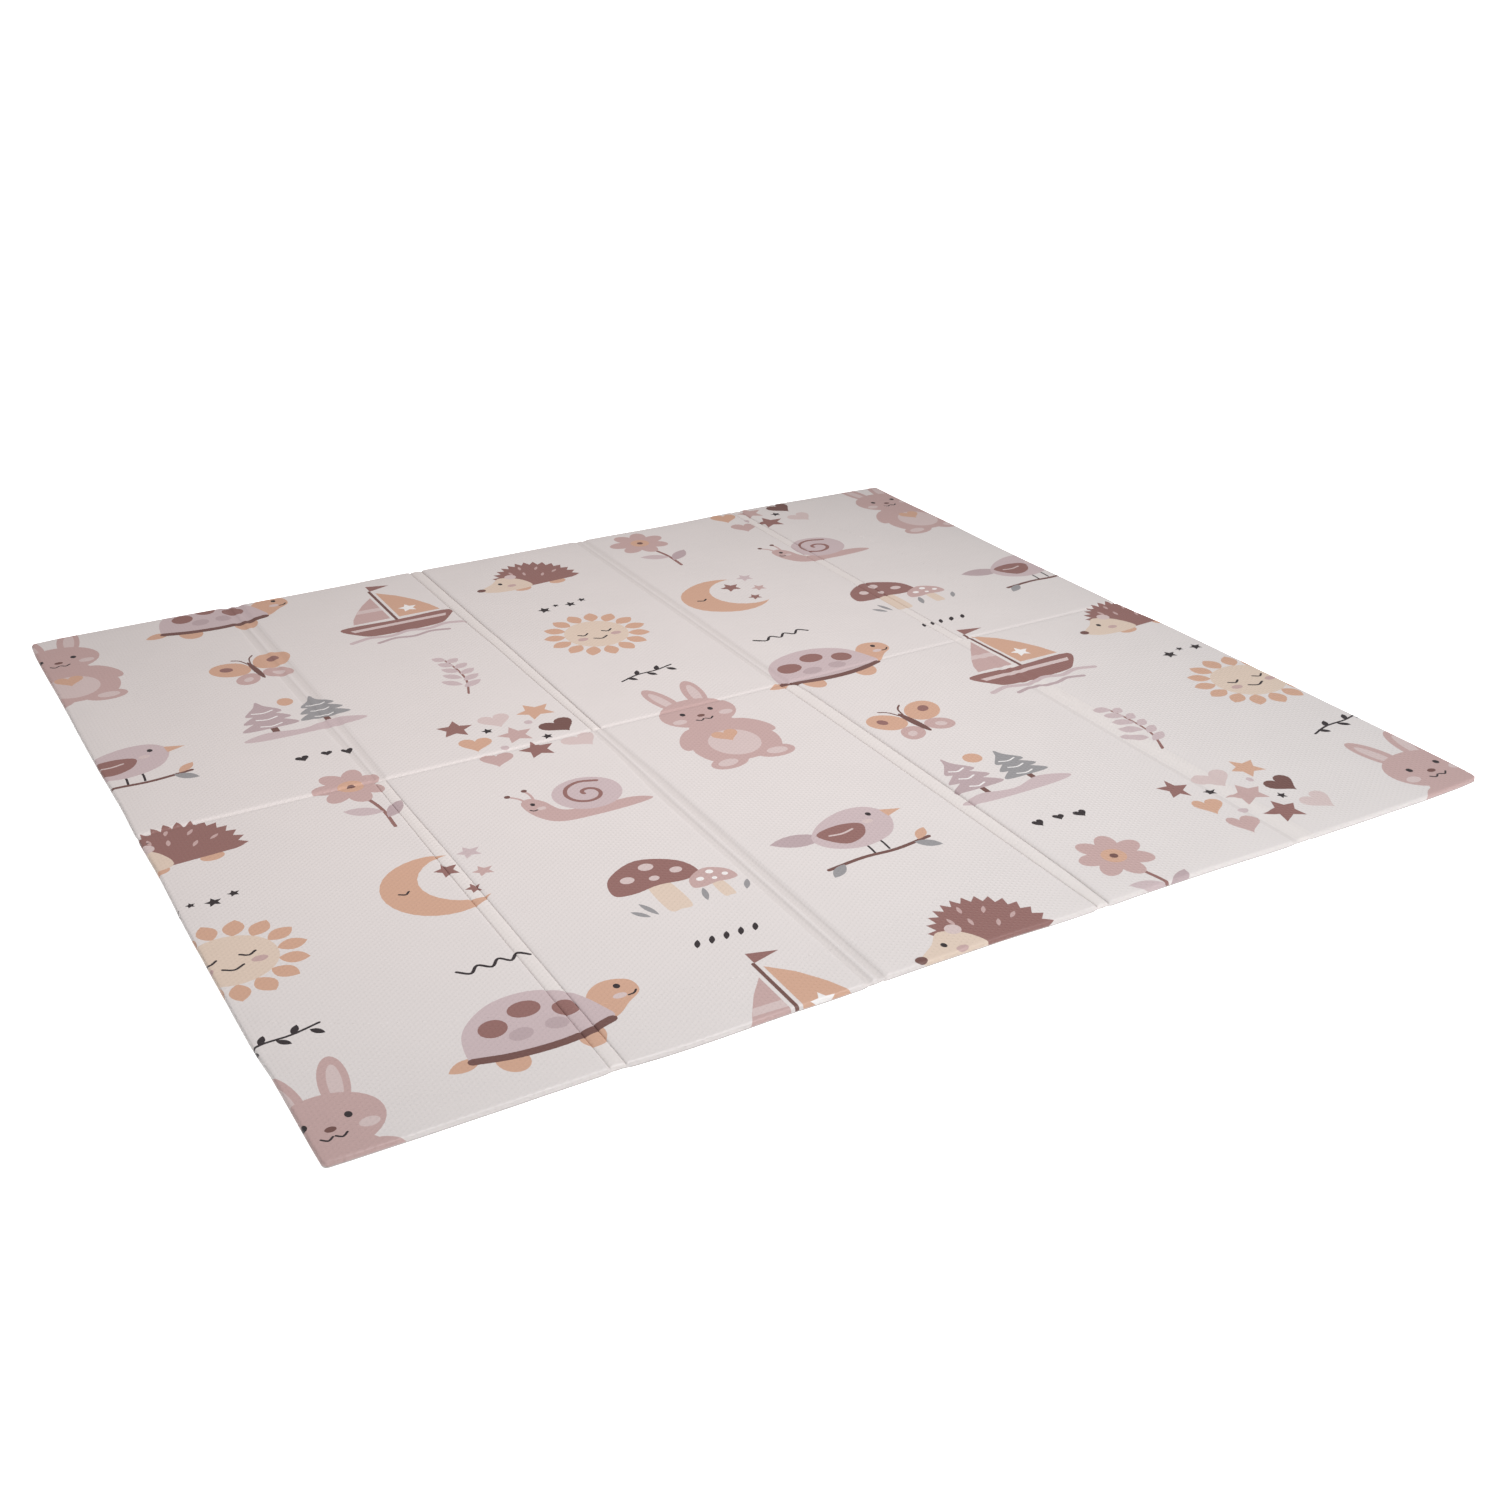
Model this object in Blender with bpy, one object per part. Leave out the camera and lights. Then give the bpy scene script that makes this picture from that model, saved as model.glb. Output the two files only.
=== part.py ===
"""Folding play mat: one flat sheet of soft foam skinned with film, lying open.

Ten panels in two rows of five are parted by folds pressed into both faces.
Four fold strips run from the front edge to the back edge, and one groove crosses them.
Metres, +Z up, X along the long side, Y from the front edge to the back edge,
with the origin in the middle of the underside.
"""

import math

import bmesh
import bpy

# Thickness of the foam with its film
THICKNESS = 0.010

# X of the left edge, the four fold strips and the right edge, at the front and the back edge.
# The open mat lies a little uneven, so the panels differ by some millimetres.
FRONT_LINES = (-1.005, -0.6125, -0.2125, 0.192, 0.596, 1.005)
BACK_LINES = (-1.005, -0.606, -0.206, 0.182, 0.5875, 0.981)

# Y of the front edge, the cross groove and the back edge
ROW_LINES = (-0.900, 0.0115, 0.900)

# Fold strip, one row for each distance from its middle line, with how deep the face lies
# there: first where the strip folds crisply between two slits, then where it folds softly
# over a rib
CRISP, SOFT = 1, 2
STRIP_PROFILE = (
    (0.0000, 0.0003, 0.0007),
    (0.0060, 0.0007, 0.0022),
    (0.0108, 0.0018, 0.0024),
    (0.0125, 0.0038, 0.0023),
    (0.0142, 0.0014, 0.0020),
    (0.0200, 0.0000, 0.0000),
)

# Cross groove, one row for each distance from its middle line, with its depth there
DEPTH = 1
GROOVE_PROFILE = (
    (0.0000, 0.0029),
    (0.0030, 0.0019),
    (0.0065, 0.0004),
    (0.0120, 0.0000),
)

# Rounded rim, one row for each distance in from the edge, with the heights of both faces
TOP, UNDERSIDE = 1, 2
RIM_PROFILE = (
    (0.0000, 0.0064, 0.0032),
    (0.0009, 0.0083, 0.0012),
    (0.0028, 0.0095, 0.0003),
    (0.0065, 0.0100, 0.0000),
    (0.0120, 0.0100, 0.0000),
)

# The folds are pressed less deep into the underside
UNDERSIDE_DEPTH = 0.7

# Corners are rounded, panels bow out between their folds, and folds draw the edge in
CORNER_RADIUS = 0.012
END_BOW = 0.003
FOLD_DRAW = 0.0035
FOLD_DRAW_REACH = 0.016
# Bow of the left and the right edge along the front and the back row
LEFT_BOW = (0.003, 0.003)
RIGHT_BOW = (0.003, -0.004)

# Places across a panel, as parts of its width and of its depth, that carry the bow
PANEL_STEPS = (0.15, 0.50, 0.85)

FILM_COLOUR = (0.69, 0.65, 0.63, 1.0)
FILM_ROUGHNESS = 0.55


def interpolate(rows, column, place):
    """Value of a profile's column at a distance, from its two nearest rows."""
    if place <= rows[0][0]:
        return rows[0][column]
    for low, high in zip(rows, rows[1:]):
        if place <= high[0]:
            part = (place - low[0]) / (high[0] - low[0])
            return low[column] + part * (high[column] - low[column])
    return rows[-1][column]


def on_lines(lines, value):
    """Place at a fractional index along a tuple of lines."""
    index = min(int(value), len(lines) - 2)
    return lines[index] + (value - index) * (lines[index + 1] - lines[index])


def stations(line_count, profile):
    """Grid lines across the mat, each as (fractional line index, offset from that line)."""
    last = line_count - 1
    insets = [row[0] for row in RIM_PROFILE]
    offsets = [row[0] for row in profile]
    found = [(0, inset) for inset in insets]
    for index in range(last):
        found += [(index + step, 0.0) for step in PANEL_STEPS]
        if index + 1 < last:
            found += [(index + 1, -offset) for offset in reversed(offsets)]
            found += [(index + 1, offset) for offset in offsets[1:]]
    return found + [(last, -inset) for inset in reversed(insets)]


def inset_from_edge(station, last):
    """How far a grid line lies in from the edge that it belongs to."""
    line, offset = station
    if line == 0:
        return offset
    if line == last:
        return -offset
    return CORNER_RADIUS


def edge_bow(line, offset, last, bow):
    """How far the edge stands out between two folds, or is drawn in at a fold."""
    if line in (0, last):
        return 0.0
    if line == int(line):
        return -FOLD_DRAW * math.exp(-(offset / FOLD_DRAW_REACH) ** 2)
    return bow * math.sin(math.pi * (line % 1.0)) ** 0.6


def fold_depth(column, row, underside):
    """Depth that the strips and the cross groove press into one face."""
    strip = 0.0
    line, offset = column
    last_line = len(FRONT_LINES) - 1
    if line == int(line) and 0 < line < last_line:
        front_is_crisp = line % 2 == 1
        row_line, row_offset = row
        if row_line == 1:
            reach = GROOVE_PROFILE[-1][0]
            back_share = 0.5 + 0.5 * row_offset / reach
        else:
            back_share = 0.0 if row_line < 1 else 1.0
        crisp_share = 1.0 - back_share if front_is_crisp else back_share
        if underside:
            crisp_share = 1.0 - crisp_share
        crisp = interpolate(STRIP_PROFILE, CRISP, abs(offset))
        soft = interpolate(STRIP_PROFILE, SOFT, abs(offset))
        strip = crisp_share * crisp + (1.0 - crisp_share) * soft
    groove = 0.0
    if row[0] == 1:
        groove = interpolate(GROOVE_PROFILE, DEPTH, abs(row[1]))
    depth = max(strip, groove)
    return depth * UNDERSIDE_DEPTH if underside else depth


def round_corner(inset_x, inset_y):
    """Insets of a corner point once the square corner is drawn to an arc."""
    across = 1.0 - inset_x / CORNER_RADIUS
    along = 1.0 - inset_y / CORNER_RADIUS
    round_x = across * math.sqrt(1.0 - 0.5 * along * along)
    round_y = along * math.sqrt(1.0 - 0.5 * across * across)
    return CORNER_RADIUS * (1.0 - round_x), CORNER_RADIUS * (1.0 - round_y)


def mat_point(column, row, underside):
    """Place of one point of the top face or the underside."""
    last_line = len(FRONT_LINES) - 1
    last_row = len(ROW_LINES) - 1
    y = on_lines(ROW_LINES, row[0]) + row[1]
    back_share = (y - ROW_LINES[0]) / (ROW_LINES[-1] - ROW_LINES[0])
    front_x = on_lines(FRONT_LINES, column[0])
    back_x = on_lines(BACK_LINES, column[0])
    x = front_x + back_share * (back_x - front_x) + column[1]

    inset_x = inset_from_edge(column, last_line)
    inset_y = inset_from_edge(row, last_row)
    inset = min(inset_x, inset_y)
    if inset_x < CORNER_RADIUS and inset_y < CORNER_RADIUS:
        round_x, round_y = round_corner(inset_x, inset_y)
        x += math.copysign(round_x - inset_x, -x)
        y += math.copysign(round_y - inset_y, -y)

    row_index = 0 if row[0] < 1 else 1
    if column[0] == 0:
        x -= edge_bow(row[0], row[1], last_row, LEFT_BOW[row_index])
    if column[0] == last_line:
        x += edge_bow(row[0], row[1], last_row, RIGHT_BOW[row_index])
    if row[0] in (0, last_row):
        y += math.copysign(edge_bow(column[0], column[1], last_line, END_BOW), y)

    thinned = 1.0 - fold_depth(column, row, False) / THICKNESS
    if underside:
        lift = fold_depth(column, row, True)
        z = max(interpolate(RIM_PROFILE, UNDERSIDE, inset), lift)
    else:
        z = interpolate(RIM_PROFILE, TOP, inset) * thinned
    return x, y, z


def foam_sheet():
    """The whole mat as one closed body: a grid, extruded, its points moved to their places."""
    columns = stations(len(FRONT_LINES), STRIP_PROFILE)
    rows = stations(len(ROW_LINES), GROOVE_PROFILE)
    sheet = bmesh.new()
    bmesh.ops.create_grid(sheet, x_segments=len(columns) - 1, y_segments=len(rows) - 1, size=1.0)
    raised = bmesh.ops.extrude_face_region(sheet, geom=sheet.faces[:])["geom"]
    top = {item for item in raised if isinstance(item, bmesh.types.BMVert)}
    for point in sheet.verts:
        across = round((point.co.x + 1.0) / 2.0 * (len(columns) - 1))
        along = round((point.co.y + 1.0) / 2.0 * (len(rows) - 1))
        point.co = mat_point(columns[across], rows[along], point not in top)
    centre_on_box(sheet)
    bmesh.ops.recalc_face_normals(sheet, faces=sheet.faces[:])
    mesh = bpy.data.meshes.new("foam_sheet")
    sheet.to_mesh(mesh)
    sheet.free()
    return mesh


def centre_on_box(sheet):
    """Slide the mat so that the middle of its outline lies on the origin."""
    for axis in (0, 1):
        places = [point.co[axis] for point in sheet.verts]
        middle = (min(places) + max(places)) / 2.0
        for point in sheet.verts:
            point.co[axis] -= middle


def film_material():
    """Warm off-white film with a soft sheen."""
    film = bpy.data.materials.new("foam_film")
    film.use_nodes = True
    shader = film.node_tree.nodes["Principled BSDF"]
    shader.inputs["Base Color"].default_value = FILM_COLOUR
    shader.inputs["Roughness"].default_value = FILM_ROUGHNESS
    shader.inputs["Metallic"].default_value = 0.0
    return film


def clear_scene():
    for item in list(bpy.data.objects):
        bpy.data.objects.remove(item, do_unlink=True)


def build_mat():
    clear_scene()
    collection = bpy.data.collections.new("play_mat")
    bpy.context.scene.collection.children.link(collection)
    mesh = foam_sheet()
    mesh.materials.append(film_material())
    mesh.shade_smooth()
    mesh.set_sharp_from_angle(angle=math.radians(35.0))
    mat = bpy.data.objects.new("foam_mat", mesh)
    collection.objects.link(mat)


build_mat()
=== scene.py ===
"""Looks of the folding play mat: printed film over foam, which fold strips press into ten panels.

The print is laid out flat, cut into the film as outlines filled with ink, and then a node
tree presses the film to the mat's folds and rim. Lengths are in metres, but for the
drawings of the print, which are in centimetres about their own middles.
"""

import cmath
import math

import bpy
from mathutils import Matrix, Vector
from mathutils.geometry import delaunay_2d_cdt


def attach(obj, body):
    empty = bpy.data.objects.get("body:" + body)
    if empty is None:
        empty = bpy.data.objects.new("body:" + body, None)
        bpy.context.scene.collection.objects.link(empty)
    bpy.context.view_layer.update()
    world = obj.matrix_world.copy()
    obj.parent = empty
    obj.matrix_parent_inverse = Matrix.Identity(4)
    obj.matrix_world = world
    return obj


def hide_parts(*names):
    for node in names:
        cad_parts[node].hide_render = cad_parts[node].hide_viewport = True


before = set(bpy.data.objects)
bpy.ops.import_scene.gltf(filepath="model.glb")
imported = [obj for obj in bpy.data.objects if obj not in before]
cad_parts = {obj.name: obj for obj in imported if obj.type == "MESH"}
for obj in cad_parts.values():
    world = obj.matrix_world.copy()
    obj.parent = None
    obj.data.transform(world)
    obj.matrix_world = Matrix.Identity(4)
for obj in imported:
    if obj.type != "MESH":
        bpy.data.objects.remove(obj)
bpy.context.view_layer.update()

NODE = "foam_mat"
BODY = "root"

# The mat lying open: size of the sheet, thickness of the foam, and where it is folded
MAT_LENGTH = 2.000
MAT_WIDTH = 1.800
THICKNESS = 0.010
COLUMNS = 5
GROOVE_Y = 0.0115
HALF_LENGTH = MAT_LENGTH / 2
HALF_WIDTH = MAT_WIDTH / 2
PANEL_LENGTH = MAT_LENGTH / COLUMNS

# X of the left edge, the fold strips and the right edge as the mat lies, front and back
FRONT_LINES = (-1.0037, -0.6077, -0.2077, 0.1923, 0.5993, 1.0063)
BACK_LINES = (-1.0037, -0.5997, -0.2017, 0.1873, 0.5923, 0.9823)

# Fold strip, a row for each distance along the flat film from its middle line:
# place and depth of the film where the strip is pinched into two slits, and depth where
# it is folded softly over a rib
FILM, PINCHED, SLIT_DEPTH, TROUGH_DEPTH = range(4)
STRIP = (
    (0.0000, 0.0000, 0.0003, 0.0007),
    (0.0030, 0.0035, 0.0004, 0.0010),
    (0.0060, 0.0068, 0.0008, 0.0022),
    (0.0080, 0.0090, 0.0012, 0.0025),
    (0.0096, 0.0107, 0.0018, 0.0025),
    (0.0106, 0.0117, 0.0026, 0.0024),
    (0.0116, 0.0123, 0.0035, 0.0024),
    (0.0125, 0.0125, 0.0042, 0.0023),
    (0.0134, 0.0127, 0.0034, 0.0022),
    (0.0144, 0.0133, 0.0022, 0.0020),
    (0.0154, 0.0143, 0.0014, 0.0018),
    (0.0170, 0.0162, 0.0006, 0.0013),
    (0.0190, 0.0186, 0.0002, 0.0006),
    (0.0220, 0.0220, 0.0000, 0.0000),
)
SLIT_OFFSET = 0.0125
# Bands along the strips that are painted darker or lighter than the panels: painted shade
# in the channels of the soft folds, and a painted highlight along the strips. Where each
# starts and ends across the strip, and its tone
# painted shade: darker bands in the two channels of a soft fold
SHADE_CHANNELS = ((-0.0170, -0.0030, "painted_shade"), (0.0030, 0.0170, "painted_shade"))
# painted highlight: a lighter band along the middle of each fold strip
HIGHLIGHT_BAND = ((-0.0106, 0.0106, "painted_highlight"),)
# Fold and row (False front, True back) that have other bands than the painted highlight alone
BANDS = {
    (1, True): SHADE_CHANNELS,
    (2, False): SHADE_CHANNELS,
    (3, True): SHADE_CHANNELS,
    (4, False): ((-0.0170, -0.0096, "painted_shade"), (-0.0080, 0.0190, "painted_highlight")),
}

# How each fold strip wanders, front to back: Y, shift of its middle line in X, distance
# from there to its slits or troughs, and share of the full depth that it is pressed to
WANDER = (
    ((-0.90, -0.0037, 0.0112, 0.68), (-0.30, -0.0037, 0.0110, 0.65),
     (-0.05, -0.0045, 0.0095, 0.65), (0.10, -0.0042, 0.0104, 0.60),
     (0.50, -0.0070, 0.0138, 0.80), (0.90, -0.0085, 0.0132, 1.00)),
    ((-0.90, -0.0060, 0.0124, 1.45), (-0.30, -0.0032, 0.0132, 1.25),
     (0.00, -0.0005, 0.0085, 1.00), (0.15, -0.0013, 0.0098, 1.00),
     (0.40, -0.0013, 0.0112, 1.00), (0.55, -0.0036, 0.0120, 1.10), (0.90, -0.0055, 0.0130, 1.20)),
    ((-0.90, -0.0015, 0.0108, 1.10), (-0.70, 0.0028, 0.0140, 1.10),
     (-0.40, 0.0042, 0.0148, 1.10), (-0.01, 0.0028, 0.0145, 1.00),
     (0.02, -0.0060, 0.0095, 1.00), (0.50, -0.0040, 0.0105, 0.90), (0.90, -0.0040, 0.0105, 0.80)),
    ((-0.90, -0.0020, 0.0160, 0.90), (-0.50, -0.0010, 0.0165, 0.90),
     (-0.10, 0.0000, 0.0130, 0.60), (0.05, -0.0019, 0.0105, 0.60),
     (0.50, -0.0042, 0.0108, 0.65), (0.90, -0.0035, 0.0102, 0.90)),
)
WANDER_FADE = (0.015, 0.080)

# How the cross groove wanders, left to right: X, shift of its middle line in Y, and share
# of its full depth
GROOVE_WANDER = (
    (-1.00, 0.0060, 1.10), (-0.75, 0.0043, 1.10), (-0.50, -0.0024, 0.95),
    (-0.10, -0.0039, 0.75), (0.30, -0.0005, 0.60), (0.50, 0.0036, 0.50), (0.80, 0.0049, 0.60),
    (1.00, 0.0050, 0.80),
)
GROOVE_FADE = (0.020, 0.200)

# How far each edge stands out from its straight line, in millimetres: place along it, and
# how far out
FRONT_STAND = (
    (-1.00, 1.0), (-0.82, 2.0), (-0.62, 1.5), (-0.49, 6.0), (-0.34, 3.5), (-0.27, 4.5),
    (-0.13, 0.5), (0.00, 0.5), (0.16, 3.6), (0.30, 1.8), (0.42, 2.4), (0.62, 5.2),
    (0.84, 4.6), (1.00, -1.5),
)
BACK_STAND = (
    (-1.00, 3.0), (-0.92, 8.0), (-0.80, 8.0), (-0.62, 6.0), (-0.42, 5.0), (-0.20, 9.5),
    (-0.05, 7.0), (0.20, 7.0), (0.42, 2.5), (0.60, 8.0), (0.80, 3.0), (1.00, -5.0),
)
LEFT_STAND = (
    (-0.90, 0.0), (-0.70, 1.0), (-0.58, 5.0), (-0.30, 5.0), (-0.10, 2.2), (0.02, 4.0),
    (0.10, 1.8), (0.40, 4.0), (0.60, 3.0), (0.80, 4.0), (0.90, 2.0),
)
RIGHT_STAND = (
    (-0.90, 4.0), (-0.84, 8.0), (-0.60, 10.5), (-0.18, 10.0), (-0.03, 1.8), (0.20, -2.0),
    (0.45, -4.5), (0.60, -2.6), (0.80, -4.5), (0.90, -2.5),
)

# Cross groove: distance from its middle line, and depth
GROOVE = (
    (0.0000, 0.0029),
    (0.0015, 0.0026),
    (0.0030, 0.0019),
    (0.0045, 0.0010),
    (0.0065, 0.0003),
    (0.0090, 0.0001),
    (0.0120, 0.0000),
)

# Rim, a row for each distance along the film from the sealed edge: how far in it lies,
# and how far each face has risen from the sealed edge to its own level
INSET, TOP_RISE, UNDERSIDE_RISE = 1, 2, 3
RIM = (
    (0.0000, 0.0000, 0.00, 0.00),
    (0.0012, 0.0000, 0.19, 0.24),
    (0.0030, 0.0002, 0.47, 0.55),
    (0.0046, 0.0008, 0.71, 0.80),
    (0.0062, 0.0019, 0.89, 0.94),
    (0.0080, 0.0035, 0.97, 0.99),
    (0.0105, 0.0060, 1.00, 1.00),
)
RIM_FILM = RIM[-1][FILM]
RIM_EXTRA = RIM_FILM - RIM[-1][INSET]
SEAL_HEIGHT = 0.0032

# Share of the folds' depth that is pressed into the underside too
UNDERSIDE_DEPTH = 0.7
CORNER_RADIUS = 0.012
# Folds draw the edges in
FOLD_DRAW = 0.0015
FOLD_DRAW_REACH = 0.016
# How far in from an edge its course fades out, and how far in its ripple does
STAND_FADE = 0.100
RIPPLE_FADE = STAND_FADE / 3
# Ripple of the rim and wave of the panels: height, and scale and detail of the noise
RIM_RIPPLE = 0.0012
RIPPLE_NOISE = (26.0, 2.0)
PANEL_WAVE = 0.0007
WAVE_NOISE = (4.0, 1.0)
# How far from the cross groove a strip goes over from one look to the other
BLEND_REACH = GROOVE[-1][FILM]
# Where the mark of the pinched strips ends
STRIP_MARK_FADE = (0.0116, 0.0134)

# Cuts of the flat film: side of a panel's cells, the last cut outside a fold, and the
# distances within which two cuts meet, a point lies on the border and two points are one
PANEL_GRID = 0.040
FOLD_MARGIN = 0.003
CUT_TOLERANCE = 1e-6
BORDER_TOLERANCE = 4e-6
WELD_DISTANCE = 5e-5

CENTIMETRE = 0.01
MILLIMETRE = 0.001

# Inks of the print, as the film shows them, in Blender's linear colours
INKS = {
    "ground": (0.640, 0.596, 0.580),
    # painted shade: the ground tone made darker for the channels of the soft folds
    "painted_shade": (0.602, 0.558, 0.540),
    # painted highlight: the ground tone made lighter along the fold strips
    "painted_highlight": (0.664, 0.617, 0.594),
    # underside film, made darker than the ground as painted shade along the bottom of the rim
    "underside": (0.500, 0.470, 0.455),
    "blush": (0.565, 0.455, 0.440),
    "rose": (0.475, 0.328, 0.312),
    "mauve": (0.505, 0.405, 0.412),
    "plum": (0.420, 0.325, 0.335),
    "brown": (0.250, 0.125, 0.112),
    "cocoa": (0.150, 0.072, 0.062),
    "sand": (0.545, 0.330, 0.235),
    "cream": (0.620, 0.500, 0.410),
    "grey": (0.270, 0.262, 0.268),
    "black": (0.030, 0.022, 0.024),
    "white": (0.740, 0.715, 0.700),
}
INK_NAMES = tuple(INKS)

# Embossing of the film: size of its cells, height in millimetres, and where on its wave a
# cell's edge rises
EMBOSS_LENGTH = 0.0130
EMBOSS_WIDTH = 0.0090
EMBOSS_HEIGHT = 0.30
EMBOSS_EDGE = (0.2, 0.9)

# Wrinkles all over, across the pinched strips and along the rim: scale and detail of the
# noise, and height in millimetres
WRINKLE_NOISE = (60.0, 3.0)
WRINKLE_HEIGHT = 0.25
STRIP_WRINKLE_NOISE = (260.0, 2.0)
STRIP_WRINKLE_SQUEEZE = 0.25
STRIP_WRINKLE_HEIGHT = 0.5
RIM_WRINKLE_NOISE = (110.0, 3.0)
RIM_WRINKLE_HEIGHT = 0.8

# Sheen of the film, which varies a little over the mat
SHEEN_NOISE = (9.0, 2.0)
SHEEN_EDGE = (0.3, 0.7)
ROUGHNESS = (0.42, 0.52)
SPECULAR = 0.4

# Studio. Angles are in degrees.
CAMERA_PLACE = (-1.4145, -2.6232, 1.4150)
CAMERA_LENS = 43.243
CAMERA_SENSOR = 36.0
CAMERA_PITCH = 26.644
CAMERA_HEADING = 30.093
CAMERA_ROLL = 0.163
WHITE = (1.0, 1.0, 1.0, 1.0)
FLOOR_SIZE = 80.0
FLOOR_COLOUR = (0.93, 0.93, 0.93, 1.0)
FLOOR_ROUGHNESS = 0.9
FLOOR_GLOW = 0.42
WORLD_STRENGTH = 0.30
# Name, place, aim, power, beam, radius and colour of each lamp
LAMPS = (
    ("key", (0.90, -2.00, 4.80), (0.000, -0.510, 0.0), 903.0, 58.2, 0.5, (0.96, 0.98, 1.0)),
    ("warm", (0.90, -2.00, 4.80), (-0.655, 1.173, 0.0), 350.0, 49.6, 0.5, (1.0, 0.83, 0.79)),
    ("low", (2.60, -3.00, 0.25), (0.850, -0.900, 0.0), 50.0, 35.0, 0.15, (1.0, 1.0, 1.0)),
)


# Outlines of the print. A point is a complex number: real to the right, imaginary up.


def turned(degrees):
    return cmath.rect(1.0, math.radians(degrees))


def oval(x, y, width, height, turn=0.0):
    """Closed ellipse."""
    steps = 12 + 2 * round(2.0 * math.sqrt(width + height))
    angles = [2.0 * math.pi * step / steps for step in range(steps)]
    points = [complex(width / 2 * math.cos(a), height / 2 * math.sin(a)) for a in angles]
    return [complex(x, y) + turned(turn) * point for point in points]


def smooth(places, closed=True, steps=5):
    """Curve through a few places, closed or open."""
    points = [complex(*place) for place in places]
    count = len(points)
    curve = []
    for index in range(count if closed else count - 1):
        if closed:
            before, start, end, after = (points[(index + k) % count] for k in (-1, 0, 1, 2))
        else:
            start, end = points[index], points[index + 1]
            before = points[index - 1] if index else 2 * start - end
            after = points[index + 2] if index + 2 < count else 2 * end - start
        for step in range(steps):
            t = step / steps
            bend = 2 * before - 5 * start + 4 * end - after
            twist = 3 * start - before - 3 * end + after
            curve.append(start + 0.5 * t * (end - before + t * (bend + t * twist)))
    return curve if closed else curve + [points[-1]]


def polygon(places):
    return [complex(*place) for place in places]


def line(places, width, steps=5):
    """Drawn line with round ends."""
    middle = smooth(places, closed=False, steps=steps)
    last = len(middle) - 1
    left, right = [], []
    for index, point in enumerate(middle):
        along = middle[min(index + 1, last)] - middle[max(index - 1, 0)]
        side = 0.5j * width * along / abs(along)
        left.append(point + side)
        right.append(point - side)
    end_side = left[-1] - middle[-1]
    start_side = right[0] - middle[0]
    caps = (-45, -90, -135)
    end_cap = [middle[-1] + end_side * turned(angle) for angle in caps]
    start_cap = [middle[0] + start_side * turned(angle) for angle in caps]
    return left + end_cap + right[::-1] + start_cap


def leaf(x, y, length, width, turn, steps=7):
    """Pointed leaf or petal that grows from a place."""
    parts = [step / steps for step in range(steps + 1)]
    upper = [complex(length * t, width / 2 * math.sin(math.pi * t) ** 0.8) for t in parts]
    lower = [point.conjugate() for point in upper[1:-1]]
    return [complex(x, y) + turned(turn) * point for point in upper + lower[::-1]]


def star(x, y, radius, tips=5, dent=0.48, turn=90.0):
    points = []
    for step in range(2 * tips):
        reach = radius if step % 2 == 0 else radius * dent
        points.append(complex(x, y) + reach * turned(turn + 180.0 * step / tips))
    return points


def heart(x, y, size, turn=0.0, steps=26):
    points = []
    for step in range(steps):
        t = 2.0 * math.pi * step / steps
        across = 16 * math.sin(t) ** 3
        up = 13 * math.cos(t) - 5 * math.cos(2 * t) - 2 * math.cos(3 * t) - math.cos(4 * t)
        points.append(complex(x, y) + turned(turn) * complex(across, up) * size / 32)
    return points


def arc(x, y, radius, start, end, steps=14):
    angles = [start + (end - start) * step / steps for step in range(steps + 1)]
    return [complex(x, y) + radius * turned(angle) for angle in angles]


def mirrored(shapes):
    """The shapes and their reflections in the upright line through the middle."""
    return shapes + [(ink, [-point.conjugate() for point in outline]) for ink, outline in shapes]


# Motifs. Each is a list of (ink, outline), the lowest ink first.


def rabbit():
    ears = mirrored([
        ("rose", oval(-4.0, 15.0, 4.8, 13.5, 10)),
        ("blush", oval(-4.1, 14.8, 2.3, 9.5, 10)),
    ])
    sides = mirrored([
        ("rose", oval(-7.6, -5.0, 4.6, 10.5, -32)),
        ("rose", oval(-5.4, -18.0, 8.6, 5.4, 6)),
        ("blush", oval(-5.8, -18.0, 4.6, 2.8, 6)),
    ])
    body = smooth([(-7, -3), (-9.6, -11), (-7, -17.5), (0, -18.6), (7, -17.5), (9.6, -11),
                   (7, -3), (3.5, 1.5), (-3.5, 1.5)])
    face = mirrored([
        ("blush", oval(-5.6, 3.6, 3.2, 2.2)),
        ("black", oval(-3.4, 6.6, 1.2, 1.5)),
        ("black", line([(-2.0, 2.9), (-1.1, 2.2), (-0.2, 2.8)], 0.38)),
    ])
    return ears + [("rose", body)] + sides + [
        ("blush", oval(0, -10.4, 11.0, 12.0)),
        ("rose", oval(0, 6.0, 17.4, 14.0)),
    ] + face + [
        ("cocoa", oval(0, 4.5, 1.8, 1.3)),
        ("sand", heart(0, -6.6, 6.0)),
    ]


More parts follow.
